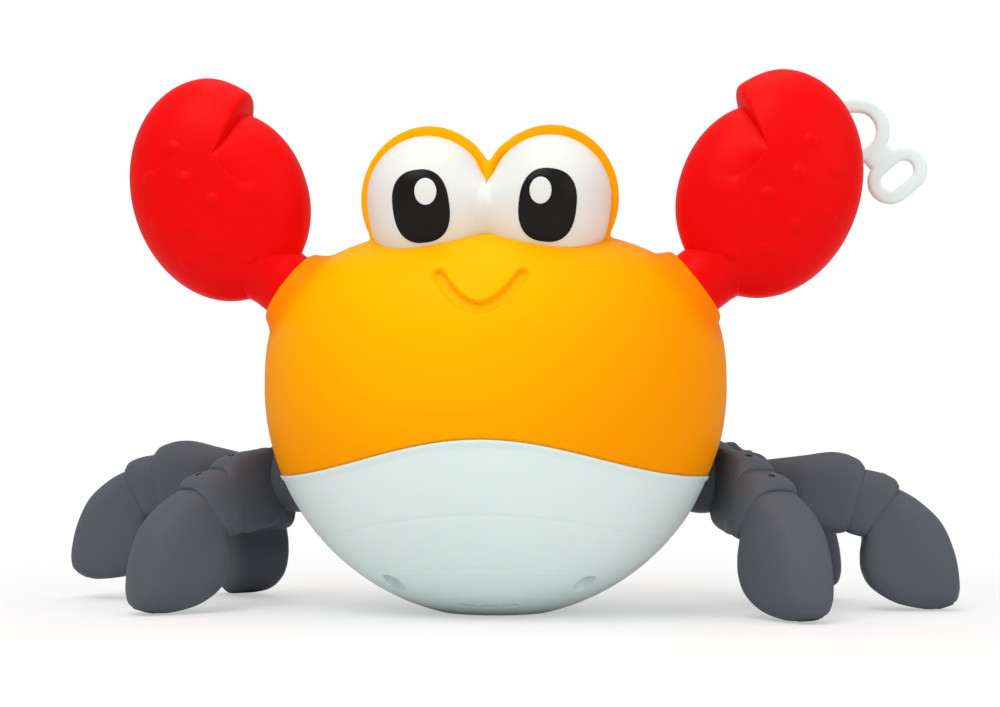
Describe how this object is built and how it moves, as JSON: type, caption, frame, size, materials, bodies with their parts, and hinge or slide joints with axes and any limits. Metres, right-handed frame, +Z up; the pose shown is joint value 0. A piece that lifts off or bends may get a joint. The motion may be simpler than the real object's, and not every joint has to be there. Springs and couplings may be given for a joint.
{
  "type": "crab bath toy",
  "caption": "Moulded plastic toy crab with a wave seam between shell and belly, lobed eyes, twisting claws, a pull ring and clockwork legs that rock on bent cranks.",
  "frame": {"origin": "middle of the flat sole under the belly", "axes": "+Z up, the face looks along -Y, +X to the viewer's right"},
  "size_m": [0.2993, 0.1275, 0.1684],
  "materials": {
    "yellow_plastic": "satin moulded yellow-orange plastic",
    "white_plastic": "satin moulded cool white plastic",
    "eye_white": "smooth white plastic",
    "pupil_black": "smooth black plastic",
    "red_plastic": "satin moulded red plastic",
    "grey_plastic": "satin moulded dark grey plastic",
    "gear_plastic": "natural acetal",
    "steel": "plain steel"
  },
  "bodies": {
    "body": {"upper_shell": "yellow_plastic", "belly_shell": "white_plastic", "eye_insert": "eye_white", "left_pupil": "pupil_black", "right_pupil": "pupil_black", "left_hip_cup": "grey_plastic", "right_hip_cup": "grey_plastic", "case_screw_front_left": "steel", "case_screw_front_right": "steel", "case_screw_rear_left": "steel", "case_screw_rear_right": "steel", "motor_plate_left": "steel", "motor_plate_right": "steel", "spring_arbor": "steel"},
    "drive": {"drive_axle": "steel", "left_crank": "gear_plastic", "right_crank": "gear_plastic"},
    "left_legs": {"left_leg_hub": "grey_plastic", "left_front_leg": "grey_plastic", "left_middle_leg": "grey_plastic", "left_rear_leg": "grey_plastic"},
    "right_legs": {"right_leg_hub": "grey_plastic", "right_front_leg": "grey_plastic", "right_middle_leg": "grey_plastic", "right_rear_leg": "grey_plastic"},
    "intermediate": {"intermediate_gear": "gear_plastic"},
    "barrel": {"spring_barrel": "gear_plastic", "mainspring": "steel"},
    "left_claw": {"left_claw_front": "red_plastic", "left_claw_back": "red_plastic", "left_arm_shaft": "gear_plastic", "left_arm_washer": "gear_plastic"},
    "right_claw": {"right_claw_front": "red_plastic", "right_claw_back": "red_plastic", "right_arm_shaft": "gear_plastic", "right_arm_washer": "gear_plastic", "ring_peg": "red_plastic"},
    "ring": {"pull_ring": "white_plastic"}
  },
  "joints": [
    {"name": "drive_axle_spin", "type": "hinge", "parent": "body", "child": "drive", "pos_m": [0, 0.018, 0.0432], "axis": [1, 0, 0], "continuous": true},
    {"name": "left_legs_rock", "type": "hinge", "parent": "drive", "child": "left_legs", "pos_m": [-0.06652, 0.018, 0.0432], "axis": [0.9903, -0.1392, 0], "continuous": true},
    {"name": "right_legs_rock", "type": "hinge", "parent": "drive", "child": "right_legs", "pos_m": [0.06652, 0.018, 0.0432], "axis": [0.9903, -0.1392, 0], "continuous": true},
    {"name": "intermediate_spin", "type": "hinge", "parent": "body", "child": "intermediate", "pos_m": [0, 0.01253, 0.07422], "axis": [1, 0, 0], "continuous": true},
    {"name": "barrel_spin", "type": "hinge", "parent": "body", "child": "barrel", "pos_m": [0, -0.01696, 0.05357], "axis": [1, 0, 0], "continuous": true},
    {"name": "left_claw_twist", "type": "hinge", "parent": "body", "child": "left_claw", "pos_m": [-0.0627, -0.015, 0.1024], "axis": [-0.7912, 0, 0.6115], "continuous": true},
    {"name": "right_claw_twist", "type": "hinge", "parent": "body", "child": "right_claw", "pos_m": [0.0627, -0.015, 0.1024], "axis": [0.7912, 0, 0.6115], "continuous": true},
    {"name": "ring_swing", "type": "hinge", "parent": "right_claw", "child": "ring", "pos_m": [0.10905, 0.0015, 0.152], "axis": [0, 1, 0], "range_deg": [-35, 35]}
  ],
  "couplings": [
    {"joint": "left_legs_rock", "follows": "drive_axle_spin", "ratio": -1},
    {"joint": "right_legs_rock", "follows": "drive_axle_spin", "ratio": -1},
    {"joint": "intermediate_spin", "follows": "drive_axle_spin", "ratio": -0.5},
    {"joint": "barrel_spin", "follows": "drive_axle_spin", "ratio": 0.16667}
  ]
}
